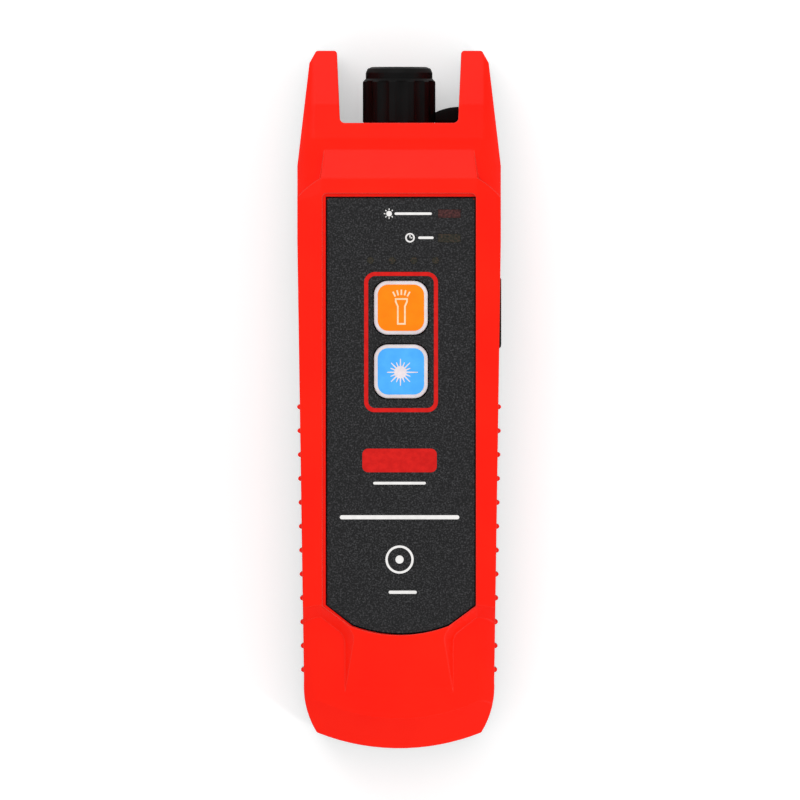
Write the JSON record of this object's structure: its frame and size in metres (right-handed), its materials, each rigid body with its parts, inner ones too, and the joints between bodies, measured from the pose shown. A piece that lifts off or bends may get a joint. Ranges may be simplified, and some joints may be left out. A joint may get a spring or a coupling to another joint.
{
  "type": "visual fault locator",
  "caption": "Handheld fibre tester with a red housing, two guard horns, a capped ferrule port, two front keys and a side charging cover.",
  "frame": {"origin": "centre of the housing's outline on its flat back face, on which it lies", "axes": "+X to the right of the front panel, +Y towards the fibre port and its guard horns, +Z out of the front panel"},
  "size_m": [0.045, 0.1536, 0.0305],
  "materials": {
    "red_shell": "satin moulded red plastic",
    "grey_shell": "fine textured dark grey plastic",
    "label_film": "printed overlay with a fine fleck",
    "white_key": "white keys with coloured faces",
    "black_plastic": "plain black plastic",
    "smoked_window": "dim smoked windows",
    "nickel_plate": "nickel plated brass",
    "white_ceramic": "zirconia",
    "black_cap": "black moulded cap",
    "black_rubber": "black rubber",
    "brass_tube": "turned brass",
    "clear_lens": "clear",
    "steel": "zinc plated steel",
    "green_board": "solder mask",
    "cell_wrap": "shrink wrap"
  },
  "bodies": {
    "housing": {"auto_off_indicator": "smoked_window", "battery_cell": "cell_wrap", "battery_contacts": "nickel_plate", "battery_level_lights": "smoked_window", "board_screws": "steel", "cap_tether": "black_rubber", "case_screws": "steel", "charging_board": "green_board", "charging_socket": "steel", "controller_chip": "black_plastic", "driver_coil": "black_plastic", "ferrule_sleeve": "white_ceramic", "front_label": "label_film", "front_shell": "red_shell", "laser_diode": "nickel_plate", "laser_indicator": "smoked_window", "laser_lens": "clear_lens", "laser_module": "brass_tube", "laser_switch": "black_plastic", "main_board": "green_board", "port_barrel": "nickel_plate", "port_nut": "nickel_plate", "rear_shell": "grey_shell", "shell_seal": "black_rubber", "side_cover_pin": "steel", "torch_led": "clear_lens", "torch_lens": "clear_lens", "torch_switch": "black_plastic"},
    "torch_key_body": {"torch_key": "white_key", "torch_switch_button": "black_plastic"},
    "laser_key_body": {"laser_key": "white_key", "laser_switch_button": "black_plastic"},
    "dust_cap_body": {"dust_cap": "black_cap"},
    "side_cover_body": {"side_port_cover": "black_rubber"}
  },
  "joints": [
    {"name": "torch_key_press", "type": "slide", "parent": "housing", "child": "torch_key_body", "axis": [0, 0, -1], "range_m": [0, 0.0005], "stiffness_N_per_m": 400},
    {"name": "laser_key_press", "type": "slide", "parent": "housing", "child": "laser_key_body", "axis": [0, 0, -1], "range_m": [0, 0.0005], "stiffness_N_per_m": 400},
    {"name": "dust_cap_pull", "type": "slide", "parent": "housing", "child": "dust_cap_body", "axis": [0, 1, 0], "range_m": [0, 0.03], "deforming": ["cap_tether"]},
    {"name": "side_cover_swing", "type": "hinge", "parent": "housing", "child": "side_cover_body", "pos_m": [0.02152, 0.0121, 0.0083], "axis": [0, 0, -1], "range_deg": [0, 100]}
  ]
}
